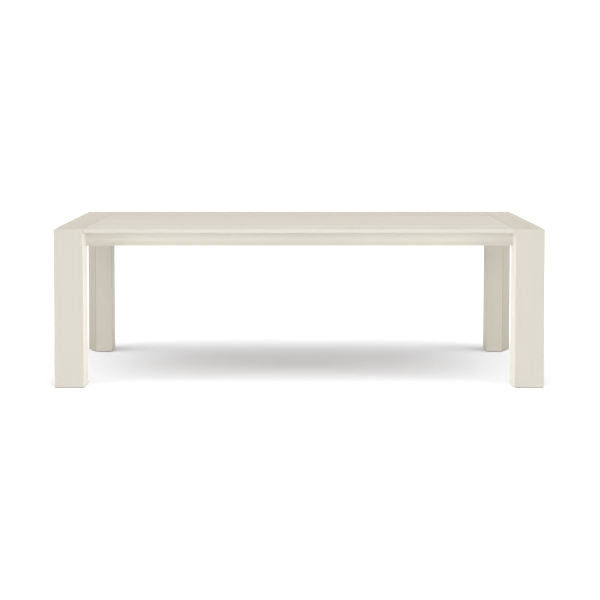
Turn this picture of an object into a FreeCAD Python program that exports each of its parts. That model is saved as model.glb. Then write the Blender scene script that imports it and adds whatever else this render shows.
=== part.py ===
import FreeCAD
import Part
import math
import os

# Parsons dining table, in millimetres. The origin is on the floor, under the centre of the top.
# X runs along the table, Y from the front edge to the back edge, Z up.

Vector = FreeCAD.Vector

# Overall size
table_length = 2337.0            # along X, over the end boards
table_depth = 1016.0             # along Y, over the legs
table_height = 762.0             # floor to table surface

# Legs
leg_width = 140.0                # along X, also the width of the end boards
leg_depth = 126.0                # along Y
leg_bevel_width = 52.0           # bevel between the end face and the inner face, measured along X
leg_bevel_depth = 84.0           # the same bevel, measured along Y
leg_edge_radius = 2.0            # eased long edges
leg_toe_chamfer = 1.5            # bevelled rim at the foot of the leg

# Top
top_thickness = 18.0
plank_names = ["top_plank_front", "top_plank_middle_front", "top_plank_middle_back", "top_plank_back"]
seam_chamfer = 1.0               # fine V along every seam of the surface
surface_arris = 1.2              # bevel around the rim of the surface
underside_bevel = 5.0            # bevel under the long edges of the field, which thins their look
field_corner_chamfer = 1.5       # upright V between the field's long edge and the leg beside it
tongue_thickness = 6.0           # tongue on the plank ends
tongue_length = 14.0
tongue_setback = 40.0            # bare shoulder between the tongue and the table's long edges
spline_thickness = 5.0           # loose tongue between two planks
spline_width = 20.0
groove_clearance = 0.1           # beside a tongue or spline, on each side
groove_extra_depth = 1.0         # past the edge of a tongue or spline

# Aprons along the table and rails across its ends
apron_thickness = 22.0
apron_height = 69.0
apron_lap = 24.0                 # from the apron's inner face to the leg's inner face
rail_thickness = 22.0
rail_height = 69.0
rail_lap = 36.0                  # from the rail's inner face to the leg's inner side
lower_edge_chamfer = 1.5         # along the lower edges of aprons and rails
tenon_thickness = 10.0
tenon_length = 30.0
tenon_shoulder = 8.0             # above and below the tenon
mortise_clearance = 0.1          # around the tenon, on each side
mortise_extra_depth = 1.0        # past the end of the tenon

# Cross battens under the planks
batten_width = 45.0
batten_height = 32.0
batten_pitch = 640.0
batten_housing = 6.0             # depth of the housing in the aprons
batten_end_gap = 0.2             # between the batten's end and the bottom of its housing

# Corner blocks
block_thickness = 24.0
block_height = 55.0
block_drop = 3.0                 # from the underside of the top to the block
block_gap = 4.0                  # from the leg's inner corner to the block

# Loose tenons between a leg and its end board, their centres placed from the leg's outer faces
loose_tenon_width = 30.0         # along X
loose_tenon_thickness = 8.0      # along Y
loose_tenon_in_board = 10.0
loose_tenon_in_leg = 20.0
loose_tenon_outer_x = 38.0
loose_tenon_outer_y = 38.0
loose_tenon_inner_x = 98.0
loose_tenon_inner_y = 50.0
loose_tenon_clearance = 0.1      # on every side

# Z clips that hold the top down on aprons and rails
clip_sheet = 1.6
clip_width = 20.0
clip_drop = 11.0                 # from the underside of the top to the clip's tongue
clip_tongue = 7.0                # length of the tongue inside the slot
clip_standoff = 2.0              # from the apron's face to the riser
clip_flange = 22.0
clip_slot_side_gap = 3.0         # beside the tongue, for movement of the wood
clip_slot_below = 0.6            # under the tongue
clip_slot_behind = 2.0           # past the tongue's end
clip_inner = 320.0               # distance of the clips from the middle of the table
clip_outer = 900.0

# Hexagon-head wood screws
clip_screw_radius = 2.0
clip_screw_flats = 8.0           # across the flats of the head
clip_screw_head = 2.2            # thickness of the head
batten_screw_radius = 2.5
batten_screw_flats = 9.0
batten_screw_head = 3.0
screw_bite = 12.0                # depth of every screw in the top
screw_clearance = 0.1            # radial, around a shank
screw_tip_gap = 0.5              # past a screw's tip

# Levelling feet, placed from the leg's outer faces
foot_inset_x = 76.0
foot_inset_y = 52.0
foot_pad_radius = 19.0
foot_pad_height = 2.7
foot_pad_chamfer = 0.8
foot_pad_gap = 0.3               # from the pad to the leg when the foot is screwed right in
foot_socket_depth = 1.5          # of the stud in the pad
foot_socket_clearance = 0.05     # radial
foot_collar_flats = 17.0         # across the flats of the hexagon
foot_collar_height = 2.7
foot_collar_gap = 0.3            # from the collar to the end of its recess in the leg
foot_recess_radius = 11.0        # recess in the leg around the collar
stud_radius = 4.0
stud_length = 38.0               # above the collar
stud_running_clearance = 0.08    # radial, in the insert
stud_bore_clearance = 0.6        # radial, in the leg above the insert
stud_bore_extra = 12.0           # past the stud's end
insert_radius = 6.0
insert_length = 16.0
insert_clearance = 0.1           # radial, around the insert

# Places that follow from the sizes
half_length = table_length / 2
half_depth = table_depth / 2
underside = table_height - top_thickness
leg_bottom = foot_pad_height + foot_pad_gap
recess_top = foot_pad_height + foot_collar_height + foot_collar_gap
leg_inner_x = half_length - leg_width
leg_inner_y = half_depth - leg_depth
apron_inner_y = leg_inner_y + apron_lap
apron_outer_y = apron_inner_y + apron_thickness
rail_inner_x = leg_inner_x + rail_lap
rail_outer_x = rail_inner_x + rail_thickness
plank_width = table_depth / len(plank_names)
board_middle = table_height - top_thickness / 2
margin = 5.0                     # how far a cutting body runs past the piece it cuts

corners = [
    ("front_left", False, False),
    ("front_right", True, False),
    ("back_left", False, True),
    ("back_right", True, True),
]


def span_box(x_span, y_span, z_span):
    """A box between two values on each axis."""
    size = [max(span) - min(span) for span in (x_span, y_span, z_span)]
    corner = Vector(min(x_span), min(y_span), min(z_span))
    return Part.makeBox(size[0], size[1], size[2], corner)


def prism(points, along):
    """The closed outline through points, pushed along a vector."""
    outline = Part.makePolygon(points + [points[0]])
    return Part.Face(outline).extrude(along)


def rod(radius, start, along):
    """A round bar from start, with the length and direction of along."""
    return Part.makeCylinder(radius, along.Length, start, along)


def edges_where(shape, wanted):
    """The straight edges whose two end points both satisfy wanted."""
    return [edge for edge in shape.Edges if all(wanted(vertex.Point) for vertex in edge.Vertexes)]


def near(value, target):
    return abs(value - target) < 0.01


def to_corner(shape, right, back):
    """Mirror a piece made for the front left corner into another corner."""
    result = shape
    if right:
        result = result.mirror(Vector(0, 0, 0), Vector(1, 0, 0))
    if back:
        result = result.mirror(Vector(0, 0, 0), Vector(0, 1, 0))
    return result


def at_all_corners(shape):
    return [to_corner(shape, right, back) for name, right, back in corners]


def hexagon(centre, flats, along):
    """A hexagon bar around the Z axis of centre, as wide across its flats as given."""
    across_corners = flats / math.cos(math.pi / 6)
    points = [
        centre + Vector(
            across_corners / 2 * math.cos(side * math.pi / 3),
            across_corners / 2 * math.sin(side * math.pi / 3),
            0,
        )
        for side in range(6)
    ]
    return prism(points, along)


def screw(radius, flats, head, seat, length):
    """A plain screw pointing up, with its head under seat."""
    shank = rod(radius, seat, Vector(0, 0, length))
    return shank.fuse(hexagon(seat, flats, Vector(0, 0, -head))).removeSplitter()


def screw_hole(radius, seat, length):
    """The hole of a screw pointing up from seat."""
    return rod(radius + screw_clearance, seat, Vector(0, 0, length + screw_tip_gap))


def rim_cutter():
    """What the bevel around the rim of the surface takes away."""
    reach = surface_arris + margin
    long_section = [
        Vector(-half_length - margin, -half_depth - margin, table_height - reach),
        Vector(-half_length - margin, -half_depth - margin, table_height + margin),
        Vector(-half_length - margin, -half_depth + reach, table_height + margin),
    ]
    short_section = [
        Vector(-half_length - margin, -half_depth - margin, table_height - reach),
        Vector(-half_length - margin, -half_depth - margin, table_height + margin),
        Vector(-half_length + reach, -half_depth - margin, table_height + margin),
    ]
    front = prism(long_section, Vector(table_length + 2 * margin, 0, 0))
    left = prism(short_section, Vector(0, table_depth + 2 * margin, 0))
    back = front.mirror(Vector(0, 0, 0), Vector(0, 1, 0))
    right = left.mirror(Vector(0, 0, 0), Vector(1, 0, 0))
    return [front, back, left, right]


def loose_tenons(grow):
    """The two loose tenons over the front left leg, or their mortises when grown by a clearance."""
    centres = [
        (loose_tenon_outer_x, loose_tenon_outer_y),
        (loose_tenon_inner_x, loose_tenon_inner_y),
    ]
    half_width = loose_tenon_width / 2 + grow
    half_thickness = loose_tenon_thickness / 2 + grow
    return [
        span_box(
            (-half_length + x - half_width, -half_length + x + half_width),
            (-half_depth + y - half_thickness, -half_depth + y + half_thickness),
            (underside - loose_tenon_in_leg - grow, underside + loose_tenon_in_board + grow),
        )
        for x, y in centres
    ]


def apron_tenon(grow, extra):
    """The front apron's tenon in the front left leg, or its mortise with clearances."""
    middle = -(apron_inner_y + apron_thickness / 2)
    half = tenon_thickness / 2 + grow
    bottom = underside - apron_height + tenon_shoulder - grow
    top = underside - tenon_shoulder + grow
    end = -leg_inner_x - tenon_length - extra
    return span_box((end, -leg_inner_x), (middle - half, middle + half), (bottom, top))


def rail_tenon(grow, extra):
    """The end rail's tenon in the front left leg, or its mortise with clearances."""
    middle = -(rail_inner_x + rail_thickness / 2)
    half = tenon_thickness / 2 + grow
    bottom = underside - rail_height + tenon_shoulder - grow
    top = underside - tenon_shoulder + grow
    end = -leg_inner_y - tenon_length - extra
    return span_box((middle - half, middle + half), (end, -leg_inner_y), (bottom, top))


def end_board_space():
    """The room of the left end board over the front left leg, up to the mitre."""
    start = Vector(-half_length - margin, 0, 0)
    points = [
        Vector(0, -half_depth + top_thickness, underside),
        Vector(0, -half_depth - margin, table_height + margin),
        Vector(0, 0, table_height + margin),
        Vector(0, 0, underside),
    ]
    return prism([point + start for point in points], Vector(leg_width + 2 * margin, 0, 0))


def foot_centre(z):
    return Vector(-half_length + foot_inset_x, -half_depth + foot_inset_y, z)


def leg():
    """The front left leg: a bevelled post whose outer skin rises to the surface in a mitre."""
    section = [
        Vector(-half_length, -half_depth, leg_bottom),
        Vector(-leg_inner_x, -half_depth, leg_bottom),
        Vector(-leg_inner_x, -leg_inner_y, leg_bottom),
        Vector(-half_length + leg_bevel_width, -leg_inner_y, leg_bottom),
        Vector(-half_length, -leg_inner_y - leg_bevel_depth, leg_bottom),
    ]
    post = prism(section, Vector(0, 0, table_height - leg_bottom))
    toe = edges_where(post, lambda point: near(point.z, leg_bottom))
    post = post.makeChamfer(leg_toe_chamfer, toe)
    upright_length = table_height - leg_bottom - leg_toe_chamfer
    upright = [edge for edge in post.Edges if near(edge.Length, upright_length)]
    post = post.makeFillet(leg_edge_radius, upright)
    post = post.cut([end_board_space()] + rim_cutter())
    post = post.cut([
        apron_tenon(mortise_clearance, mortise_extra_depth),
        rail_tenon(mortise_clearance, mortise_extra_depth),
    ])
    return post.cut(loose_tenons(loose_tenon_clearance) + foot_bores())


def end_board():
    """The left end board, mitred into the legs at both ends and grooved for the planks."""
    x_span = (-half_length, -leg_inner_x)
    board = span_box(x_span, (-half_depth, half_depth), (underside, table_height))
    upright = [edge for edge in board.Edges if near(edge.Length, top_thickness)]
    board = board.makeFillet(leg_edge_radius, upright)
    seam = edges_where(board, lambda point: near(point.x, -leg_inner_x) and near(point.z, table_height))
    board = board.makeChamfer(seam_chamfer, seam)
    lip = [
        Vector(-half_length - margin, -half_depth - margin, table_height + margin),
        Vector(-half_length - margin, -half_depth - margin, underside - margin),
        Vector(-half_length - margin, -half_depth + top_thickness + margin, underside - margin),
    ]
    front_lip = prism(lip, Vector(leg_width + 2 * margin, 0, 0))
    back_lip = front_lip.mirror(Vector(0, 0, 0), Vector(0, 1, 0))
    groove = span_box(
        (-leg_inner_x - tongue_length - groove_extra_depth, -leg_inner_x),
        (-half_depth + tongue_setback - groove_clearance, half_depth - tongue_setback + groove_clearance),
        (board_middle - tongue_thickness / 2 - groove_clearance,
         board_middle + tongue_thickness / 2 + groove_clearance),
    )
    board = board.cut([front_lip, back_lip, groove] + rim_cutter())
    front_mortises = loose_tenons(loose_tenon_clearance)
    back_mortises = [to_corner(mortise, False, True) for mortise in front_mortises]
    return board.cut(front_mortises + back_mortises)


def plank(index):
    """One plank of the field, with a tongue at each end and a grooved seam to its neighbours."""
    front = -half_depth + index * plank_width
    back = front + plank_width
    first = index == 0
    last = index == len(plank_names) - 1
    body = span_box((-leg_inner_x, leg_inner_x), (front, back), (underside, table_height))

    def on_seam(point):
        if not near(point.z, table_height):
            return False
        return (near(point.y, front) and not first) or (near(point.y, back) and not last)

    def on_end(point):
        return near(point.z, table_height) and near(abs(point.x), leg_inner_x)

    def on_long_edge(point):
        return (near(point.y, front) and first) or (near(point.y, back) and last)

    def on_outer_corner(point):
        return on_long_edge(point) and near(abs(point.x), leg_inner_x)

    def under_rim(point):
        return on_long_edge(point) and near(point.z, underside)

    seams = [
        edge for edge in edges_where(body, on_seam)
        if near(edge.Length, 2 * leg_inner_x)
    ]
    ends = [
        edge for edge in edges_where(body, on_end)
        if near(edge.Length, plank_width)
    ]
    body = body.makeChamfer(seam_chamfer, seams + ends)
    uprights = edges_where(body, on_outer_corner)
    if uprights:
        body = body.makeChamfer(field_corner_chamfer, uprights)
    rim = edges_where(body, under_rim)
    if rim:
        body = body.makeChamfer(underside_bevel, rim)
    tongue_front = front + tongue_setback if first else front
    tongue_back = back - tongue_setback if last else back
    reach = leg_inner_x + tongue_length
    tongue = span_box(
        (-reach, reach),
        (tongue_front, tongue_back),
        (board_middle - tongue_thickness / 2, board_middle + tongue_thickness / 2),
    )
    body = body.fuse(tongue).removeSplitter()
    cuts = rim_cutter()
    for seam_y in plank_seams():
        cuts.append(spline_body(seam_y, groove_clearance, groove_extra_depth / 2))
    return body.cut(cuts + clip_screw_holes() + batten_screw_holes())


def plank_seams():
    return [-half_depth + step * plank_width for step in range(1, len(plank_names))]


def spline_body(seam_y, grow, extra):
    """The loose tongue along one seam, or its groove with clearances."""
    half = spline_thickness / 2 + grow
    reach = spline_width / 2 + extra
    return span_box(
        (-leg_inner_x - extra, leg_inner_x + extra),
        (seam_y - reach, seam_y + reach),
        (board_middle - half, board_middle + half),
    )


def apron():
    """The front apron with its tenons, batten housings and clip slots."""
    body = span_box(
        (-leg_inner_x, leg_inner_x),
        (-apron_outer_y, -apron_inner_y),
        (underside - apron_height, underside),
    )
    lower = [
        edge for edge in edges_where(body, lambda point: near(point.z, underside - apron_height))
        if near(edge.Length, 2 * leg_inner_x)
    ]
    body = body.makeChamfer(lower_edge_chamfer, lower)
    tenons = [apron_tenon(0, 0), to_corner(apron_tenon(0, 0), True, False)]
    body = body.fuse(tenons).removeSplitter()
    housings = [
        span_box(
            (x - batten_width / 2, x + batten_width / 2),
            (-apron_inner_y - batten_housing, -apron_inner_y + margin),
            (underside - batten_height, underside + margin),
        )
        for x in batten_places()
    ]
    slots = [at_clip(clip_slot(), x) for x in clip_places()]
    return body.cut(housings + slots)


def rail():
    """The left end rail with its tenons."""
    body = span_box(
        (-rail_outer_x, -rail_inner_x),
        (-leg_inner_y, leg_inner_y),
        (underside - rail_height, underside),
    )
    lower = [
        edge for edge in edges_where(body, lambda point: near(point.z, underside - rail_height))
        if near(edge.Length, 2 * leg_inner_y)
    ]
    body = body.makeChamfer(lower_edge_chamfer, lower)
    tenons = [rail_tenon(0, 0), to_corner(rail_tenon(0, 0), False, True)]
    return body.fuse(tenons).removeSplitter()


def batten_places():
    return [-batten_pitch, 0.0, batten_pitch]


def batten(x):
    """A cross batten from apron to apron, bored from below for its screws."""
    reach = apron_inner_y + batten_housing - batten_end_gap
    body = span_box(
        (x - batten_width / 2, x + batten_width / 2),
        (-reach, reach),
        (underside - batten_height, underside),
    )
    return body.cut(batten_screw_holes())


def batten_screw_seats():
    """Where the heads of the batten screws rest: one under the middle of each plank."""
    seats = []
    for x in batten_places():
        for index in range(len(plank_names)):
            y = -half_depth + (index + 0.5) * plank_width
            seats.append(Vector(x, y, underside - batten_height))
    return seats


def batten_screw_holes():
    length = batten_height + screw_bite
    return [screw_hole(batten_screw_radius, seat, length) for seat in batten_screw_seats()]


def batten_screws():
    length = batten_height + screw_bite
    return [
        screw(batten_screw_radius, batten_screw_flats, batten_screw_head, seat, length)
        for seat in batten_screw_seats()
    ]


def corner_block():
    """The block across the front left corner, between apron and rail."""
    outer = half_length + half_depth - (leg_width + leg_depth + block_gap * math.sqrt(2))
    inner = outer - block_thickness * math.sqrt(2)
    bottom = underside - block_drop - block_height
    points = [
        Vector(apron_inner_y - outer, -apron_inner_y, bottom),
        Vector(apron_inner_y - inner, -apron_inner_y, bottom),
        Vector(-rail_inner_x, rail_inner_x - inner, bottom),
        Vector(-rail_inner_x, rail_inner_x - outer, bottom),
    ]
    return prism(points, Vector(0, 0, block_height))


def clip():
    """A Z clip: its tongue lies in a slot of the apron, its flange under the top."""
    half = clip_width / 2
    riser = clip_standoff + clip_sheet
    tip = clip_standoff + clip_flange
    section = [
        Vector(-half, -clip_tongue, -clip_drop - clip_sheet),
        Vector(-half, riser, -clip_drop - clip_sheet),
        Vector(-half, riser, -clip_sheet),
        Vector(-half, tip, -clip_sheet),
        Vector(-half, tip, 0),
        Vector(-half, clip_standoff, 0),
        Vector(-half, clip_standoff, -clip_drop),
        Vector(-half, -clip_tongue, -clip_drop),
    ]
    return prism(section, Vector(clip_width, 0, 0)).cut(clip_screw_hole())


def clip_screw_seat():
    """Where the screw's head rests under the clip's flange."""
    return Vector(0, clip_standoff + clip_sheet + (clip_flange - clip_sheet) / 2, -clip_sheet)


def clip_screw_hole():
    return screw_hole(clip_screw_radius, clip_screw_seat(), clip_sheet + screw_bite)


def clip_screw():
    length = clip_sheet + screw_bite
    return screw(clip_screw_radius, clip_screw_flats, clip_screw_head, clip_screw_seat(), length)


def clip_slot():
    """The slot for a clip's tongue."""
    half = clip_width / 2 + clip_slot_side_gap
    return span_box(
        (-half, half),
        (-clip_tongue - clip_slot_behind, margin),
        (-clip_drop - clip_sheet - clip_slot_below, -clip_drop),
    )


def clip_places():
    return [-clip_outer, -clip_inner, clip_inner, clip_outer]


def at_clip(shape, x):
    """Move a piece from the origin to the clip of the front apron at x."""
    return shape.translated(Vector(x, -apron_inner_y, underside))


def at_all_clips(shape):
    front = [at_clip(shape, x) for x in clip_places()]
    return front + [to_corner(copy, False, True) for copy in front]


def clip_screw_holes():
    return at_all_clips(clip_screw_hole())


def foot_bores():
    """What the collar, the insert and the stud need inside the front left leg."""
    start = foot_centre(recess_top)
    recess = rod(foot_recess_radius, foot_centre(leg_bottom), Vector(0, 0, recess_top - leg_bottom))
    barrel = rod(insert_radius + insert_clearance, start, Vector(0, 0, insert_length))
    bore = rod(stud_radius + stud_bore_clearance, start, Vector(0, 0, stud_length + stud_bore_extra))
    return [recess, barrel, bore]


def insert():
    """The threaded insert in the front left leg."""
    length = Vector(0, 0, insert_length)
    start = foot_centre(recess_top)
    return rod(insert_radius, start, length).cut(rod(stud_radius + stud_running_clearance, start, length))


def foot_stud():
    """The stud of the front left foot, with a hexagon collar to turn it by."""
    collar_bottom = foot_centre(foot_pad_height)
    collar = hexagon(collar_bottom, foot_collar_flats, Vector(0, 0, foot_collar_height))
    bottom = collar_bottom + Vector(0, 0, -foot_socket_depth)
    length = foot_socket_depth + foot_collar_height + stud_length
    return collar.fuse(rod(stud_radius, bottom, Vector(0, 0, length))).removeSplitter()


def foot_pad():
    """The pad of the front left foot, with a socket for the stud."""
    pad = rod(foot_pad_radius, foot_centre(0), Vector(0, 0, foot_pad_height))
    rim = [
        edge for edge in edges_where(pad, lambda point: near(point.z, foot_pad_height))
        if near(edge.Length, 2 * math.pi * foot_pad_radius)
    ]
    pad = pad.makeChamfer(foot_pad_chamfer, rim)
    socket_radius = stud_radius + foot_socket_clearance
    socket = rod(
        socket_radius,
        foot_centre(foot_pad_height - foot_socket_depth),
        Vector(0, 0, foot_socket_depth),
    )
    return pad.cut(socket)


def build():
    """Every piece of the table by its name."""
    pieces = {}
    left_leg = leg()
    block = corner_block()
    for name, right, back in corners:
        pieces["leg_" + name] = to_corner(left_leg, right, back)
        pieces["corner_block_" + name] = to_corner(block, right, back)
        pieces["leg_insert_" + name] = to_corner(insert(), right, back)
        pieces["foot_stud_" + name] = to_corner(foot_stud(), right, back)
        pieces["foot_pad_" + name] = to_corner(foot_pad(), right, back)
    for index, name in enumerate(plank_names):
        pieces[name] = plank(index)
    for name, seam_y in zip(["front", "middle", "back"], plank_seams()):
        pieces["plank_spline_" + name] = spline_body(seam_y, 0, 0)
    board = end_board()
    pieces["end_board_left"] = board
    pieces["end_board_right"] = to_corner(board, True, False)
    front_apron = apron()
    pieces["apron_front"] = front_apron
    pieces["apron_back"] = to_corner(front_apron, False, True)
    left_rail = rail()
    pieces["end_rail_left"] = left_rail
    pieces["end_rail_right"] = to_corner(left_rail, True, False)
    for name, x in zip(["left", "middle", "right"], batten_places()):
        pieces["cross_batten_" + name] = batten(x)

    tenons = []
    for tenon in loose_tenons(0):
        tenons += at_all_corners(tenon)
    pieces["leg_loose_tenons"] = Part.makeCompound(tenons)
    pieces["top_clips"] = Part.makeCompound(at_all_clips(clip()))
    pieces["top_clip_screws"] = Part.makeCompound(at_all_clips(clip_screw()))
    pieces["batten_screws"] = Part.makeCompound(batten_screws())
    return pieces


os.makedirs("parts", exist_ok=True)
for piece_name, piece in build().items():
    piece.exportStep("parts/" + piece_name + ".step")
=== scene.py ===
import math
import random

import bpy
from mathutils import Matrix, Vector


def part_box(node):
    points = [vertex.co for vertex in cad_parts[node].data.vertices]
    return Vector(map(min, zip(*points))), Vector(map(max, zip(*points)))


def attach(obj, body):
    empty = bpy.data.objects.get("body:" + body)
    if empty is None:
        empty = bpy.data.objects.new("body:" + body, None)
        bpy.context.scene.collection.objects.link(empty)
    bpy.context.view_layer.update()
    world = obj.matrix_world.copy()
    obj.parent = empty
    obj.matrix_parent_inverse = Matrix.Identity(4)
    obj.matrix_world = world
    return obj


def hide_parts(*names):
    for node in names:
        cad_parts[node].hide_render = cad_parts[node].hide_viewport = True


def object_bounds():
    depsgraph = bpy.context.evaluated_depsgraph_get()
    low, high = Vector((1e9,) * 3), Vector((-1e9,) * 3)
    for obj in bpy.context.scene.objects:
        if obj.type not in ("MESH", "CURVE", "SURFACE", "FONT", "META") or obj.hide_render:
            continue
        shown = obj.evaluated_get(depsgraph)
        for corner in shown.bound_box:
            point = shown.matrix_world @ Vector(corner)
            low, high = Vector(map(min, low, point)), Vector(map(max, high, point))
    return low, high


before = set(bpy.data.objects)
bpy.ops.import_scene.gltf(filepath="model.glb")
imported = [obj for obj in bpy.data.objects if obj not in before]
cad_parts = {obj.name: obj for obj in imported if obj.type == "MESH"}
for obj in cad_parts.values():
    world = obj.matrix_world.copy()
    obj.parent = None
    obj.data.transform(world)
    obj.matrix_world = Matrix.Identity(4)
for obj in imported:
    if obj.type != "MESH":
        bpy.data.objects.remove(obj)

# Dressing of a whitewashed parsons dining table. Metres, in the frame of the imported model.

cad_low, cad_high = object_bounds()

# Camera
camera_distance = 5.874          # from the table's front face
camera_height = 1.3313
camera_pitch = math.radians(2.756)
camera_sensor = 36.0             # width, in millimetres
camera_lens = 74.45              # millimetres
camera_shift = (0.0014, -0.2180)
camera_reach = 100.0

# Sizes that the finish follows
seam_width = 0.0011              # half of the V between two boards
edge_wear_width = 0.0022
softwood_edge_width = 0.0025
apron_shade_height = 0.032             # lower edge of the aprons, darkened as painted shade
apron_shade_fully = 0.4              # share of that edge below which it is darkest
edge_height = 0.0132             # upright part of the field's long edges, above the bevel
nosing_shade_blend = 0.0012              # height over which the painted shade below that part begins
leg_bevel_width = 0.052
leg_bevel_depth = 0.084
bevel_blend = (0.02, 0.05)       # where the painted shade on the bevel begins, in shares of the bevel's depth

# Depths below the top's outer faces between which the painted light on its upright sides, and the
# calmer figure there, begin
side_blend = (0.0012, 0.0003)
nosing_blend = (0.012, 0.008)
nosing_top_blend = (0.002, 0.0008)

# Levelling feet
collar_flats = 0.017             # across the flats of the hexagon
collar_bottom = 0.0027           # above the floor
collar_height = 0.0027
collar_chamfer = 0.0005
stud_core_radius = 0.0034
stud_core_sides = 40
thread_crest_radius = 0.00395
thread_root = 0.0002             # depth of the ridge's foot in the core
thread_pitch = 0.00125
thread_ridge_share = 0.92        # of the pitch that the ridge takes at its foot
thread_crest_share = 0.14        # of the ridge's width at its foot
thread_steps = 20                # round one turn
smooth_angle = math.radians(30)

# Colours, linear
wash_colour = (0.521, 0.501, 0.4465)
open_grain_colour = (0.385, 0.343, 0.275)
full_wash = 0.88                 # thinner than this, the wash darkens the grain it lies in too
warm_loss = (0.0, 0.025, 0.045)  # of red, green and blue, for each step of warmth
seam_colour = (0.19, 0.16, 0.115)
worn_colour = (0.52, 0.45, 0.345)
bare_colour = (0.62, 0.47, 0.29)
bare_grain_colour = (0.42, 0.28, 0.15)
zinc_colour = (0.62, 0.63, 0.65)
zinc_bloom_colour = (0.55, 0.50, 0.38)
nylon_colour = (0.30, 0.29, 0.27)
scuffed_nylon_colour = (0.50, 0.49, 0.46)
floor_colour = (0.905, 0.91, 0.935)

# How thick the wash lies on each kind of piece, and how warm the wood shows through it; on the back
# legs, aprons and end rails it is made thicker and lighter as painted light, to lift the shade they
# stand in
plank_washes = {
    "front": (0.842, 0.4),
    "middle_front": (0.812, 0.7),
    "middle_back": (0.79, 1.1),
    "back": (0.73, 1.4),
}
end_board_wash = (0.748, 1.8)
front_leg_wash = (0.82, 0.6)
back_leg_wash_painted_light = (1.035, 1.6)
apron_wash_painted_light = (1.12, 0.8)
bevel_painted_shade = (0.648, 0.64, 0.615)   # painted shade on the wide bevel of a leg: how far the wash's colour there is darkened
long_side_painted_light = 1.035           # painted light: how far the wash's colour is lightened on the planks' upright sides

# How strongly the figure shows
plank_figure = 1.0
end_board_figure = 0.9
leg_figure = 0.22                # of legs, aprons and end rails
long_side_calm = 0.85            # how far it fades on the planks' upright sides

# Marks in the wood: frequency per metre along the grain and across it, detail and roughness
wood_marks = {
    "cover": (1.1, 9.0, 3.0, 0.5),
    "fibre": (9.0, 380.0, 3.0, 0.65),
    "pores": (45.0, 1100.0, 2.0, 0.5),
    "streak": (0.35, 22.0, 3.0, 0.6),
    "cloud": (1.6, 3.5, 2.0, 0.5),
    "chips": (14.0, 90.0, 3.0, 0.7),
    "wander": (0.9, 5.0, 2.0, 0.5),
    "softwood_fibre": (12.0, 420.0, 3.0, 0.65),
    "softwood_cloud": (2.0, 10.0, 2.0, 0.5),
}

# The part that each mark has in the figure of whitewashed wood
late_wood_part = 0.07
late_wood_uncovered = 0.34       # added where the wash is rubbed thin
fibre_part = 0.5
streak_part = 0.9
cloud_part = 0.35
pore_part = 0.14
even_part = 0.14                 # the same everywhere

# The part that each mark has in the figure of bare softwood
softwood_ring_part = 0.55
softwood_fibre_part = 0.5
softwood_cloud_part = 0.6
softwood_even_part = 0.1

# Between which values of its noise each mark begins and is full
cover_span = (0.38, 0.66)
pore_span = (0.60, 0.72)
chip_span = (0.52, 0.68)
zinc_bloom_span = (0.35, 0.7)

# Roughness, and height of the relief that the bump makes of it
wash_roughness = 0.46
fibre_roughness = 0.18
worn_roughness = 0.15
fibre_relief = 0.5
pore_relief = -0.55
ring_relief = -0.35
wash_relief_height = 0.00035
softwood_roughness = 0.6
softwood_fibre_roughness = 0.2
softwood_relief_height = 0.0003
zinc_roughness = 0.22
zinc_mark_roughness = 0.25
zinc_relief_height = 0.00005
nylon_roughness = 0.45
nylon_grain_roughness = 0.2
nylon_relief_height = 0.0001
floor_roughness = 0.8
floor_tooth_roughness = 0.1

# Noise on the other materials: its frequency per metre
zinc_bloom_frequency = 60.0
zinc_mark_frequency = (900.0, 900.0, 60.0)
nylon_grain_frequency = 1400.0
nylon_cloud_frequency = 90.0
floor_tooth_frequency = 60.0
backdrop_weave_frequency = 40.0

# How far wear and seams tint the wash, how far painted shade darkens it below the planks' upright
# sides and along the aprons' lower edge, and the softwood's edges
worn_part = 0.5
nosing_shade_part = 0.09                 # painted shade below the planks' upright sides
apron_shade_part = 0.17
plank_seam_part = 0.5
end_board_seam_part = 0.85
seam_span = (0.7, 1.5)           # from full to none, in seam widths
softwood_rim_part = 0.35
scuffed_height = 0.0025          # of the nylon pads, above the floor

# Growth rings: how far apart they lie, how far they wander, where the pith may be, and where
# on the way from one ring to the next the late wood begins and ends
late_wood_spacing = (0.0075, 0.0105)
softwood_spacing = (0.004, 0.006)
ring_wander = 0.07
ring_lean_across = 0.035
ring_lean_through = 0.02
pith_across = 0.06
pith_through = (0.03, 0.09)
late_wood_rise = (0.25, 0.86)
late_wood_fall = (0.90, 1.0)

# First seed of each kind of piece
seeds = {
    "top_plank": 11,
    "end_board": 31,
    "leg": 51,
    "apron": 71,
    "end_rail": 81,
    "cross_batten": 91,
    "corner_block": 101,
    "plank_spline": 111,
    "loose_tenons": 121,
}

corners = ("front_left", "front_right", "back_left", "back_right")
far = 10.0                       # stands for a side where a board has no seam or no open end

# Studio. Distant lights: where they go, their spread in degrees, their strength
sky_light = ((0.0, 0.4, -1.0), 130, 0.70)
side_lights = {                                  # of the left side; the right side mirrors it
    "overhead": ((0.42, 0.31, -1.0), 48, 0.268),
    "shoulder": ((0.85, 0.30, -1.0), 60, 0.12),
    "front": ((1.0, 0.42, -0.1), 12, 0.32),
    "side": ((1.0, 0.1, -0.1), 20, 0.159),
}
snoot_place = (-5.0, -1.35, 0.40)
snoot_target = (1.03, -0.45, 0.37)               # inner face of the front leg on the other side
snoot_cone = math.radians(11.0)
snoot_blend = 0.15
snoot_radius = 0.08
snoot_narrowness = 0.3                           # width of the slit in shares of its height
snoot_watts = 1100.0
daylight_place = (0.0, -2.9, 0.55)
daylight_target = (0.0, -0.45, 0.62)
daylight_size = (1.1, 0.5)
daylight_watts = 12.0
daylight_colour = (0.75, 0.91, 1.0)
floor_radius = 40.0
floor_sides = 96
backdrop_place = (0.0, 7.6, 3.0)
backdrop_size = (16.0, 6.0, 1.0)
backdrop_glow = 1.03
backdrop_weave = 0.02


def deselect_all():
    for obj in bpy.context.selected_objects:
        obj.select_set(False)


def box_of(node):
    low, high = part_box(node)
    return Vector(low), Vector(high)


# ---------------------------------------------------------------- shader building

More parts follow.
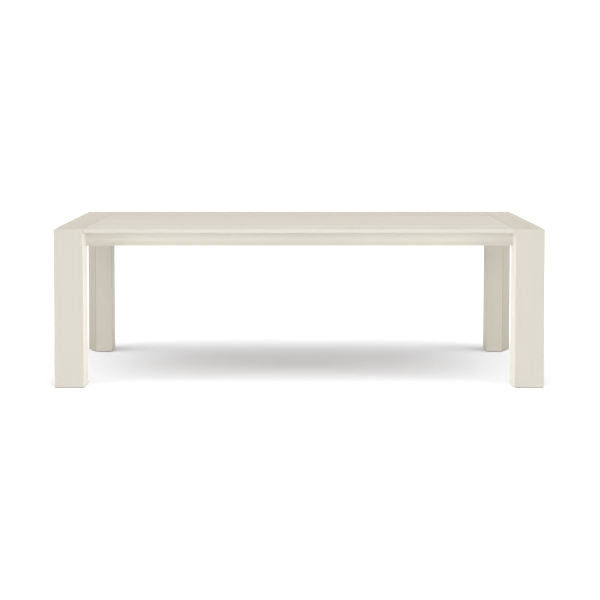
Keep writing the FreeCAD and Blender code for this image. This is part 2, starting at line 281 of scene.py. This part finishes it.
class Tree:
    """A few short calls to lay nodes in a material."""

    def __init__(self, name):
        self.material = bpy.data.materials.new(name)
        self.material.use_nodes = True
        self.tree = self.material.node_tree
        self.tree.nodes.clear()

    def node(self, kind, settings=None, inputs=None):
        made = self.tree.nodes.new(kind)
        for name, value in (settings or {}).items():
            setattr(made, name, value)
        for name, value in (inputs or {}).items():
            self.feed(made.inputs[name], value)
        return made

    def feed(self, socket, value):
        if isinstance(value, bpy.types.NodeSocket):
            self.tree.links.new(value, socket)
        else:
            socket.default_value = value

    def position(self):
        return self.node("ShaderNodeTexCoord").outputs["Object"]

    def math(self, operation, *values, clamp=False):
        made = self.node("ShaderNodeMath", {"operation": operation, "use_clamp": clamp})
        for index, value in enumerate(values):
            self.feed(made.inputs[index], value)
        return made.outputs[0]

    def vector(self, operation, *values):
        made = self.node("ShaderNodeVectorMath", {"operation": operation})
        for index, value in enumerate(values):
            self.feed(made.inputs[index], value)
        return made.outputs[0]

    def split(self, vector):
        """The three parts of a vector, by the names X, Y and Z."""
        return self.node("ShaderNodeSeparateXYZ", None, {"Vector": vector}).outputs

    def ramp(self, value, start, end, low=0.0, high=1.0):
        """Value from start to end becomes low to high, smoothly and clamped."""
        made = self.node(
            "ShaderNodeMapRange",
            {"interpolation_type": "SMOOTHSTEP", "clamp": True},
            {"Value": value, "From Min": start, "From Max": end, "To Min": low, "To Max": high},
        )
        return made.outputs["Result"]

    def noise(self, place, stretch, detail=2.0, roughness=0.5):
        """Noise with its own frequency per metre along each axis of place."""
        scaled = self.vector("MULTIPLY", place, stretch)
        return self.node(
            "ShaderNodeTexNoise",
            None,
            {"Vector": scaled, "Scale": 1.0, "Detail": detail, "Roughness": roughness},
        )

    def even_noise(self, place, frequency, detail=2.0, roughness=0.5):
        """Noise with the same frequency per metre all round."""
        return self.noise(place, (frequency,) * 3, detail, roughness).outputs[0]

    def mark(self, place, name, output="Fac"):
        """One of the marks in the wood, on a place whose X runs along the grain."""
        along, across, detail, roughness = wood_marks[name]
        return self.noise(place, (along, across, across), detail, roughness).outputs[output]

    def mix(self, factor, first, second):
        made = self.node("ShaderNodeMix", {"data_type": "RGBA"})
        self.feed(made.inputs[0], factor)
        self.feed(made.inputs[6], first)
        self.feed(made.inputs[7], second)
        return made.outputs[2]


def rgba(colour):
    return (*colour, 1.0)


GRAIN_TURN = {
    "x": (0.0, 0.0, 0.0),
    "y": (0.0, 0.0, -math.pi / 2),
    "z": (0.0, math.pi / 2, 0.0),
}


def board_space(tree, box, grain):
    """Object coordinates, and the same about the board's centre with the grain along X."""
    low, high = box
    position = tree.position()
    centred = tree.vector("SUBTRACT", position, tuple((low + high) / 2))
    turned = tree.node(
        "ShaderNodeMapping",
        {"vector_type": "POINT"},
        {"Vector": centred, "Rotation": GRAIN_TURN[grain]},
    )
    return position, turned.outputs["Vector"]


def seed_shift(chance, reach):
    """A shift that gives each board its own stretch of the noise."""
    return tuple(chance.uniform(-reach, reach) for axis in range(3))


def distances_to_faces(tree, position, low, high):
    """How far a point lies from the nearest of the two faces on each axis."""
    above = tree.vector("SUBTRACT", position, tuple(low))
    below = tree.vector("SUBTRACT", tuple(high), position)
    nearest = tree.split(tree.vector("ABSOLUTE", tree.vector("MINIMUM", above, below)))
    return [nearest[axis] for axis in "XYZ"]


def distance_to_edge(tree, position, low, high):
    """On the surface of a box, the distance to its nearest edge: the middle one of three."""
    along_x, along_y, along_z = distances_to_faces(tree, position, low, high)
    smallest = tree.math("MINIMUM", tree.math("MINIMUM", along_x, along_y), along_z)
    largest = tree.math("MAXIMUM", tree.math("MAXIMUM", along_x, along_y), along_z)
    total = tree.math("ADD", tree.math("ADD", along_x, along_y), along_z)
    return tree.math("SUBTRACT", tree.math("SUBTRACT", total, smallest), largest)


def on_bevel(tree, position, bevel):
    """1 on the wide bevel of a leg, where the wash is darkened as painted shade, and 0 on its other
    faces.
    """
    start_x, start_y, width, depth = bevel
    mirrored = tree.split(tree.vector("ABSOLUTE", position))
    along = tree.math("DIVIDE", tree.math("SUBTRACT", mirrored["X"], start_x), width)
    into = tree.math("DIVIDE", tree.math("SUBTRACT", mirrored["Y"], start_y), depth)
    return tree.ramp(tree.math("SUBTRACT", into, along), *bevel_blend, 1.0, 0.0)


def on_long_side(tree, position):
    """1 on the upright long sides of the top, where the wash is lightened as painted light, and 0
    elsewhere.
    """
    mirrored = tree.split(tree.vector("ABSOLUTE", position))
    return tree.ramp(mirrored["Y"], *(cad_high.y - depth for depth in side_blend))


def under_nosing(tree, position):
    """1 on the upright long sides and the bevels below them, and 0 elsewhere."""
    mirrored = tree.split(tree.vector("ABSOLUTE", position))
    outside = tree.ramp(mirrored["Y"], *(cad_high.y - depth for depth in nosing_blend))
    below = tree.ramp(
        mirrored["Z"], *(cad_high.z - depth for depth in nosing_top_blend), 1.0, 0.0
    )
    return tree.math("MULTIPLY", outside, below)


def growth_rings(tree, place, chance, spacing):
    """Dark late wood lines of a board sawn a little off the pith, as cathedrals and streaks."""
    wandering = tree.mark(tree.vector("ADD", place, seed_shift(chance, 40)), "wander", "Color")
    shake = tree.vector("SUBTRACT", wandering, (0.5, 0.5, 0.5))
    shaken = tree.vector("MULTIPLY_ADD", shake, (0.0, ring_wander, ring_wander), place)
    lean_across = chance.uniform(-ring_lean_across, ring_lean_across)
    lean_through = chance.uniform(-ring_lean_through, ring_lean_through)
    pith_y = chance.uniform(-pith_across, pith_across)
    pith_z = chance.choice((-1, 1)) * chance.uniform(*pith_through)
    parts = tree.split(shaken)
    across = tree.math("MULTIPLY_ADD", parts["X"], lean_across, parts["Y"])
    through = tree.math("MULTIPLY_ADD", parts["X"], lean_through, parts["Z"])
    across = tree.math("SUBTRACT", across, pith_y)
    through = tree.math("SUBTRACT", through, pith_z)
    radius = tree.math("SQRT", tree.math(
        "ADD", tree.math("MULTIPLY", across, across), tree.math("MULTIPLY", through, through)
    ))
    turn = tree.math("FRACT", tree.math("DIVIDE", radius, spacing))
    rise = tree.ramp(turn, *late_wood_rise)
    fall = tree.ramp(turn, *late_wood_fall, 1.0, 0.0)
    return tree.math("MULTIPLY", rise, fall)


def add_mark(tree, share, mark, part):
    """Adds a mark, which runs about one half, to the share of the open grain."""
    return tree.math("MULTIPLY_ADD", tree.math("SUBTRACT", mark, 0.5), part, share)


def finish_surface(
    tree, colour, roughness, height, bump_distance, bump_strength=0.6, metallic=0.0, specular=0.35
):
    """The shader itself, with its colour, roughness and bump."""
    bump = tree.node(
        "ShaderNodeBump",
        None,
        {"Height": height, "Distance": bump_distance, "Strength": bump_strength},
    )
    shader = tree.node(
        "ShaderNodeBsdfPrincipled",
        None,
        {"Base Color": colour, "Roughness": roughness, "Normal": bump.outputs["Normal"]},
    )
    shader.inputs["Metallic"].default_value = metallic
    shader.inputs["Specular IOR Level"].default_value = specular
    tree.node("ShaderNodeOutputMaterial", None, {"Surface": shader.outputs["BSDF"]})
    return tree.material


def wood_figure(tree, seeded, rings, fibre, pores):
    """How far the open grain shows through a wash of even thickness."""
    cover = tree.ramp(tree.mark(seeded, "cover"), *cover_span)
    late_wood = tree.math("MULTIPLY_ADD", cover, late_wood_uncovered, late_wood_part)
    share = tree.math("MULTIPLY", rings, late_wood)
    share = add_mark(tree, share, fibre, fibre_part)
    share = add_mark(tree, share, tree.mark(seeded, "streak"), streak_part)
    share = add_mark(tree, share, tree.mark(seeded, "cloud"), cloud_part)
    return tree.math("MULTIPLY_ADD", pores, pore_part, share)


def washed_colour(tree, share, wash):
    """The wash, and the open grain under it, for a thickness and a warmth."""
    thickness, warmth = wash
    cover = [
        channel * thickness * (1 - warmth * loss) for channel, loss in zip(wash_colour, warm_loss)
    ]
    grain = [channel * min(thickness / full_wash, 1.0) for channel in open_grain_colour]
    return tree.mix(share, rgba(cover), rgba(grain))


def worn_rim(tree, position, seeded, low, high):
    """1 where the wash is chipped off along the edges of a board, and 0 elsewhere."""
    edge = distance_to_edge(tree, position, low, high)
    rim = tree.ramp(edge, 0.0, edge_wear_width, 1.0, 0.0)
    return tree.math("MULTIPLY", rim, tree.ramp(tree.mark(seeded, "chips"), *chip_span))


def painted_shade_below(tree, position, colour, full, none, part):
    """Painted shade that is full below one height and gone above another."""
    shade_share = tree.ramp(tree.split(position)["Z"], full, none, 1.0, 0.0)
    return tree.mix(tree.math("MULTIPLY", shade_share, part), colour, rgba(seam_colour))


def draw_seams(tree, position, colour, seams):
    """Dark lines where a board meets its neighbours."""
    low, high, part = seams
    to_x, to_y, to_z = distances_to_faces(tree, position, low, high)
    nearest = tree.math("MINIMUM", to_x, to_y)
    groove = tree.ramp(nearest, *(seam_width * share for share in seam_span), 1.0, 0.0)
    return tree.mix(tree.math("MULTIPLY", groove, part), colour, rgba(seam_colour))


def whitewashed_wood(
    name, grain, box, seed, wash, figure, seams=None, shaded_below=None, bevel=None, shade_lower_edge=False
):
    """Whitewash over open grained wood: lines of late wood, fibre, pores, seams and worn edges,
    with painted shade on the legs' bevels, below the top's upright sides and along the aprons'
    lower edge, and painted light on those upright sides.

    wash is the thickness of the wash and its warmth, figure how far the grain shows through it.
    """
    chance = random.Random(seed)
    tree = Tree(name)
    low, high = box
    position, place = board_space(tree, box, grain)
    seeded = tree.vector("ADD", place, seed_shift(chance, 50))
    rings = growth_rings(tree, place, chance, chance.uniform(*late_wood_spacing))
    fibre = tree.mark(seeded, "fibre")
    pores = tree.ramp(tree.mark(seeded, "pores"), *pore_span)
    calm = 1.0
    if shaded_below is not None:
        calm = tree.math("MULTIPLY_ADD", under_nosing(tree, position), -long_side_calm, 1.0)

    share = tree.math("MULTIPLY", wood_figure(tree, seeded, rings, fibre, pores), calm)
    share = tree.math("MULTIPLY_ADD", share, figure, even_part, clamp=True)
    colour = washed_colour(tree, share, wash)
    worn = tree.math("MULTIPLY", worn_rim(tree, position, seeded, low, high), calm)
    colour = tree.mix(tree.math("MULTIPLY", worn, worn_part), colour, rgba(worn_colour))

    # painted shade: the wide bevel of each leg is darkened
    if bevel is not None:
        bevel_shaded = tree.vector("MULTIPLY", colour, bevel_painted_shade)
        colour = tree.mix(on_bevel(tree, position, bevel), colour, bevel_shaded)
    if shaded_below is not None:
        # painted light: the planks' upright sides are lightened
        lightened = tree.vector("MULTIPLY", colour, (long_side_painted_light,) * 3)
        colour = tree.mix(on_long_side(tree, position), colour, lightened)
        # painted shade: the bevel below those upright sides is darkened
        colour = painted_shade_below(
            tree, position, colour, shaded_below - nosing_shade_blend, shaded_below, nosing_shade_part
        )
    # painted shade: the lower edge of the aprons and end rails is darkened
    if shade_lower_edge:
        darkest = low.z + apron_shade_height * apron_shade_fully
        colour = painted_shade_below(tree, position, colour, darkest, low.z + apron_shade_height, apron_shade_part)
    if seams is not None:
        colour = draw_seams(tree, position, colour, seams)

    roughness = tree.math("MULTIPLY_ADD", fibre, fibre_roughness, wash_roughness)
    roughness = tree.math("MULTIPLY_ADD", worn, worn_roughness, roughness, clamp=True)
    relief = tree.math("MULTIPLY", fibre, fibre_relief)
    relief = tree.math("MULTIPLY_ADD", pores, pore_relief, relief)
    relief = tree.math("MULTIPLY_ADD", rings, ring_relief, relief)
    relief = tree.math("MULTIPLY", relief, calm)
    return finish_surface(tree, colour, roughness, relief, wash_relief_height)


def bare_wood(name, grain, box, seed):
    """Unfinished softwood of the pieces that nobody sees from above."""
    chance = random.Random(seed)
    tree = Tree(name)
    low, high = box
    position, place = board_space(tree, box, grain)
    seeded = tree.vector("ADD", place, seed_shift(chance, 50))
    rings = growth_rings(tree, place, chance, chance.uniform(*softwood_spacing))
    fibre = tree.mark(seeded, "softwood_fibre")
    share = tree.math("MULTIPLY", rings, softwood_ring_part)
    share = add_mark(tree, share, fibre, softwood_fibre_part)
    share = add_mark(tree, share, tree.mark(seeded, "softwood_cloud"), softwood_cloud_part)
    share = tree.math("ADD", share, softwood_even_part, clamp=True)
    colour = tree.mix(share, rgba(bare_colour), rgba(bare_grain_colour))
    edge = distance_to_edge(tree, position, low, high)
    rim = tree.ramp(edge, 0.0, softwood_edge_width, softwood_rim_part, 0.0)
    colour = tree.mix(rim, colour, rgba(bare_grain_colour))
    roughness = tree.math("MULTIPLY_ADD", fibre, softwood_fibre_roughness, softwood_roughness)
    return finish_surface(tree, colour, roughness, fibre, softwood_relief_height)


def zinc_plate(name):
    """Zinc plated steel: faint yellow bloom, spangle and drawing marks."""
    tree = Tree(name)
    position = tree.position()
    bloom = tree.even_noise(position, zinc_bloom_frequency, 3.0, 0.6)
    marks = tree.noise(position, zinc_mark_frequency, 3.0, 0.6).outputs[0]
    share = tree.ramp(bloom, *zinc_bloom_span)
    colour = tree.mix(share, rgba(zinc_colour), rgba(zinc_bloom_colour))
    roughness = tree.math("MULTIPLY_ADD", marks, zinc_mark_roughness, zinc_roughness)
    return finish_surface(
        tree, colour, roughness, marks, zinc_relief_height,
        bump_strength=0.4, metallic=1.0, specular=0.5,
    )


def moulded_nylon(name):
    """Grey nylon with a fine moulded grain, scuffed where it meets the floor."""
    tree = Tree(name)
    position = tree.position()
    grain = tree.even_noise(position, nylon_grain_frequency)
    cloud = tree.even_noise(position, nylon_cloud_frequency)
    near_floor = tree.ramp(tree.split(position)["Z"], 0.0, scuffed_height, 1.0, 0.0)
    scuff = tree.math("MULTIPLY", near_floor, cloud)
    colour = tree.mix(scuff, rgba(nylon_colour), rgba(scuffed_nylon_colour))
    roughness = tree.math("MULTIPLY_ADD", grain, nylon_grain_roughness, nylon_roughness)
    return finish_surface(tree, colour, roughness, grain, nylon_relief_height)


# ---------------------------------------------------------------- dressing the table

def dress(node, material):
    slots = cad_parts[node].data.materials
    slots.clear()
    slots.append(material)


def plank_boxes(node):
    """The plank without its tongues, and the box whose sides are its seams."""
    low, high = box_of(node)
    board_low, board_high = box_of("end_board_left")
    low.x, high.x = board_high.x, -board_high.x
    seam_low, seam_high = low.copy(), high.copy()
    if low.y < cad_low.y + seam_width:
        seam_low.y = -far
    if high.y > cad_high.y - seam_width:
        seam_high.y = far
    return (low, high), (seam_low, seam_high)


def dress_planks():
    for index, (place, wash) in enumerate(plank_washes.items()):
        node = "top_plank_" + place
        box, seams = plank_boxes(node)
        dress(node, whitewashed_wood(
            "whitewash_" + node, "x", box, seeds["top_plank"] + index, wash, plank_figure,
            seams=(*seams, plank_seam_part), shaded_below=cad_high.z - edge_height,
        ))


def dress_end_boards():
    for index, side in enumerate(("left", "right")):
        node = "end_board_" + side
        low, high = box_of(node)
        seam_low, seam_high = Vector((-far, -far, -far)), Vector((far, far, far))
        if side == "left":
            seam_high.x = high.x
        else:
            seam_low.x = low.x
        dress(node, whitewashed_wood(
            "whitewash_" + node, "y", (low, high), seeds["end_board"] + index, end_board_wash,
            end_board_figure, seams=(seam_low, seam_high, end_board_seam_part),
        ))


def dress_legs():
    for index, corner in enumerate(corners):
        node = "leg_" + corner
        low, high = box_of(node)
        inner_y = min(abs(low.y), abs(high.y))
        bevel = (cad_high.x - leg_bevel_width, inner_y, leg_bevel_width, leg_bevel_depth)
        # the back legs' thicker, lighter wash is painted light
        wash = front_leg_wash if corner.startswith("front") else back_leg_wash_painted_light
        dress(node, whitewashed_wood(
            "whitewash_" + node, "z", (low, high), seeds["leg"] + index, wash, leg_figure,
            bevel=bevel,
        ))


def open_ended(node, axis):
    """The box of a piece whose ends are hidden in its neighbours."""
    low, high = box_of(node)
    low[axis], high[axis] = -far, far
    return low, high


def dress_aprons():
    for kind, places, grain, axis in (
        ("apron", ("front", "back"), "x", 0), ("end_rail", ("left", "right"), "y", 1)
    ):
        for index, place in enumerate(places):
            node = kind + "_" + place
            # the aprons and end rails get a lighter wash as painted light, and painted shade along
            # their lower edge
            dress(node, whitewashed_wood(
                "whitewash_" + node, grain, open_ended(node, axis), seeds[kind] + index,
                apron_wash_painted_light, leg_figure, shade_lower_edge=True,
            ))


def dress_hidden_wood():
    for kind, places, grain, axis in (
        ("cross_batten", ("left", "middle", "right"), "y", 1),
        ("corner_block", corners, "z", None),
        ("plank_spline", ("front", "middle", "back"), "x", 0),
    ):
        for index, place in enumerate(places):
            node = kind + "_" + place
            box = box_of(node) if axis is None else open_ended(node, axis)
            dress(node, bare_wood("softwood_" + node, grain, box, seeds[kind] + index))
    tenons = box_of("leg_loose_tenons")
    dress("leg_loose_tenons", bare_wood(
        "softwood_loose_tenons", "z", tenons, seeds["loose_tenons"]
    ))


def dress_hardware(zinc, nylon):
    for node in ("top_clips", "top_clip_screws", "batten_screws"):
        dress(node, zinc)
    for corner in corners:
        dress("leg_insert_" + corner, zinc)
        dress("foot_pad_" + corner, nylon)


# ---------------------------------------------------------------- threaded feet

def finish_piece(piece, name, materials):
    """Places the piece's own origin at the frame's and dresses it."""
    deselect_all()
    piece.select_set(True)
    bpy.context.view_layer.objects.active = piece
    bpy.ops.object.transform_apply(location=True, rotation=True, scale=True)
    piece.name = name
    piece.data.materials.clear()
    for material in materials:
        piece.data.materials.append(material)


def select_vertices(mesh, wanted):
    """Selects the vertices that wanted says, from edit mode and back."""
    bpy.ops.mesh.select_all(action="DESELECT")
    bpy.ops.mesh.select_mode(type="VERT")
    bpy.ops.object.mode_set(mode="OBJECT")
    for vertex in mesh.vertices:
        vertex.select = wanted(vertex.co)
    bpy.ops.object.mode_set(mode="EDIT")


def collar_turn():
    """The hexagon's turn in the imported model: its flats or its corners face along X."""
    low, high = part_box("foot_stud_front_left")
    flats_along_x = (high.x - low.x) < (high.y - low.y)
    return 0.0 if flats_along_x else math.pi / 6


def shape_collar():
    """The hexagon that a spanner turns, with its corners chamfered."""
    deselect_all()
    bpy.ops.mesh.primitive_cylinder_add(
        vertices=6, radius=collar_flats / math.sqrt(3), depth=collar_height,
        location=(0.0, 0.0, collar_bottom + collar_height / 2), rotation=(0.0, 0.0, collar_turn()),
    )
    collar = bpy.context.object
    bpy.ops.object.transform_apply(location=True, rotation=True, scale=True)
    bpy.ops.object.mode_set(mode="EDIT")
    bpy.ops.mesh.select_all(action="SELECT")
    bpy.ops.mesh.bevel(offset=collar_chamfer, segments=2, affect="EDGES")
    bpy.ops.object.mode_set(mode="OBJECT")
    return collar


def shape_core(bottom, top):
    """The stud inside its thread, with a chamfered tip."""
    deselect_all()
    bpy.ops.mesh.primitive_cylinder_add(
        vertices=stud_core_sides, radius=stud_core_radius, depth=top - bottom,
        location=(0.0, 0.0, (bottom + top) / 2),
    )
    core = bpy.context.object
    bpy.ops.object.transform_apply(location=True, rotation=True, scale=True)
    bpy.ops.object.mode_set(mode="EDIT")
    select_vertices(core.data, lambda place: place.z > top - thread_pitch / 10)
    bpy.ops.mesh.bevel(offset=thread_pitch / 2, segments=1, affect="EDGES")
    bpy.ops.object.mode_set(mode="OBJECT")
    return core


def cut_thread(bottom, top):
    """A helical ridge from bottom to top: a trapezium, swept by the screw modifier."""
    foot = stud_core_radius - thread_root
    depth = thread_crest_radius - foot
    turns = int((top - bottom) / thread_pitch) - 1
    deselect_all()
    bpy.ops.mesh.primitive_plane_add(
        size=1.0, location=(foot + depth / 2, 0.0, bottom + thread_pitch / 2),
        rotation=(math.pi / 2, 0.0, 0.0),
    )
    ridge = bpy.context.object
    ridge.scale = (depth, thread_pitch * thread_ridge_share, 1.0)
    bpy.ops.object.transform_apply(location=True, rotation=True, scale=True)
    bpy.ops.object.mode_set(mode="EDIT")
    bpy.ops.mesh.select_all(action="SELECT")
    bpy.ops.mesh.delete(type="ONLY_FACE")
    select_vertices(ridge.data, lambda place: place.x > foot + depth / 2)
    bpy.ops.transform.resize(value=(1.0, 1.0, thread_crest_share))
    bpy.ops.object.mode_set(mode="OBJECT")
    sweep = ridge.modifiers.new("thread", "SCREW")
    sweep.axis = "Z"
    sweep.angle = 2 * math.pi
    sweep.screw_offset = thread_pitch
    sweep.iterations = turns
    sweep.steps = thread_steps
    sweep.render_steps = thread_steps
    sweep.use_merge_vertices = False
    bpy.ops.object.modifier_apply(modifier="thread")
    bpy.ops.object.mode_set(mode="EDIT")
    bpy.ops.mesh.select_mode(type="EDGE")
    bpy.ops.mesh.select_all(action="DESELECT")
    bpy.ops.mesh.select_non_manifold()
    bpy.ops.mesh.fill()
    bpy.ops.mesh.select_all(action="SELECT")
    bpy.ops.mesh.normals_make_consistent(inside=False)
    bpy.ops.object.mode_set(mode="OBJECT")
    return ridge


def model_studs(zinc):
    """Four threaded studs with their collars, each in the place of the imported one."""
    low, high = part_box("foot_stud_front_left")
    collar_top = collar_bottom + collar_height
    parts = [
        shape_core(low.z, high.z),
        cut_thread(collar_top - thread_pitch, high.z),
        shape_collar(),
    ]
    deselect_all()
    for part in parts:
        part.select_set(True)
    bpy.context.view_layer.objects.active = parts[0]
    bpy.ops.object.join()
    pattern = bpy.context.object
    bpy.ops.object.shade_smooth_by_angle(angle=smooth_angle)
    for corner in corners:
        deselect_all()
        pattern.select_set(True)
        bpy.context.view_layer.objects.active = pattern
        bpy.ops.object.duplicate(linked=False)
        stud = bpy.context.object
        low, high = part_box("foot_stud_" + corner)
        stud.location = ((low.x + high.x) / 2, (low.y + high.y) / 2, 0.0)
        finish_piece(stud, "threaded_stud_" + corner, [zinc])
        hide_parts("foot_stud_" + corner)
        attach(stud, "foot_" + corner)
    deselect_all()
    pattern.select_set(True)
    bpy.ops.object.delete()


# ---------------------------------------------------------------- studio

def lay_floor():
    deselect_all()
    bpy.ops.mesh.primitive_circle_add(
        vertices=floor_sides, radius=floor_radius, fill_type="NGON", location=(0, 0, 0)
    )
    floor = bpy.context.object
    floor.name = "studio_floor"
    tree = Tree("studio_floor")
    tooth = tree.even_noise(tree.position(), floor_tooth_frequency)
    roughness = tree.math("MULTIPLY_ADD", tooth, floor_tooth_roughness, floor_roughness)
    shader = tree.node(
        "ShaderNodeBsdfPrincipled", None, {"Base Color": rgba(floor_colour), "Roughness": roughness}
    )
    shader.inputs["Specular IOR Level"].default_value = 0.0
    tree.node("ShaderNodeOutputMaterial", None, {"Surface": shader.outputs["BSDF"]})
    floor.data.materials.append(tree.material)


def hang_backdrop():
    """A white cloth behind the table, lit evenly from behind."""
    deselect_all()
    bpy.ops.mesh.primitive_plane_add(
        size=1.0, location=backdrop_place, rotation=(math.pi / 2, 0.0, 0.0)
    )
    cloth = bpy.context.object
    cloth.name = "studio_backdrop"
    cloth.scale = backdrop_size
    tree = Tree("studio_backdrop")
    weave = tree.even_noise(tree.position(), backdrop_weave_frequency)
    glow = tree.math("MULTIPLY_ADD", weave, backdrop_weave, backdrop_glow)
    shader = tree.node("ShaderNodeEmission", None, {"Strength": glow})
    tree.node("ShaderNodeOutputMaterial", None, {"Surface": shader.outputs["Emission"]})
    cloth.data.materials.append(tree.material)
    cloth.visible_shadow = False


def hang(name, data, direction, location=(0.0, 0.0, 0.0)):
    """Places a light so that it shines in a direction."""
    light = bpy.data.objects.new(name, data)
    light.location = location
    light.rotation_euler = Vector(direction).to_track_quat("-Z", "Y").to_euler()
    bpy.context.scene.collection.objects.link(light)
    return light


def hang_softbox(name, location, target, size, watts, colour):
    """A rectangular soft box that faces a point."""
    data = bpy.data.lights.new(name, "AREA")
    data.shape = "RECTANGLE"
    data.size, data.size_y = size
    data.energy = watts
    data.color = colour
    hang(name, data, Vector(target) - Vector(location), location)


def aim_snoot(name, location, target):
    """An upright slit of light that reaches only the inner face of one front leg."""
    data = bpy.data.lights.new(name, "SPOT")
    data.spot_size = snoot_cone
    data.spot_blend = snoot_blend
    data.shadow_soft_size = snoot_radius
    data.energy = snoot_watts
    light = hang(name, data, Vector(target) - Vector(location), location)
    light.scale = (snoot_narrowness, 1.0, 1.0)


def distant_softbox(name, towards, spread, strength):
    """Light from one side of the studio, even over the whole floor."""
    data = bpy.data.lights.new(name, "SUN")
    data.angle = math.radians(spread)
    data.energy = strength * math.pi
    hang(name, data, towards)


def mirrored(place, sign):
    """A place or direction on the left, or its mirror image on the right."""
    return sign * place[0], place[1], place[2]


def light_studio():
    world = bpy.data.worlds.new("studio_air")
    world.use_nodes = True
    background = world.node_tree.nodes["Background"]
    background.inputs["Color"].default_value = (1.0, 1.0, 1.0, 1.0)
    background.inputs["Strength"].default_value = 1.0
    bpy.context.scene.world = world
    world.cycles_visibility.diffuse = False
    distant_softbox("sky", *sky_light)
    for side, sign in (("left", 1.0), ("right", -1.0)):
        for name, (towards, spread, strength) in side_lights.items():
            distant_softbox(name + "_" + side, mirrored(towards, sign), spread, strength)
        aim_snoot("snoot_" + side, mirrored(snoot_place, sign), mirrored(snoot_target, sign))
    hang_softbox(
        "front_low", daylight_place, daylight_target, daylight_size, daylight_watts,
        daylight_colour,
    )


def place_camera():
    data = bpy.data.cameras.new("camera")
    data.lens = camera_lens
    data.sensor_width = camera_sensor
    data.shift_x, data.shift_y = camera_shift
    data.clip_end = camera_reach
    camera = bpy.data.objects.new("camera", data)
    camera.location = (0.0, cad_low.y - camera_distance, camera_height)
    camera.rotation_euler = (math.pi / 2 - camera_pitch, 0.0, 0.0)
    bpy.context.scene.collection.objects.link(camera)
    bpy.context.scene.camera = camera


dress_planks()
dress_end_boards()
dress_legs()
dress_aprons()
dress_hidden_wood()
zinc = zinc_plate("zinc_plate")
dress_hardware(zinc, moulded_nylon("moulded_nylon"))
model_studs(zinc)
lay_floor()
hang_backdrop()
light_studio()
place_camera()
bpy.context.scene.view_settings.view_transform = "Standard"
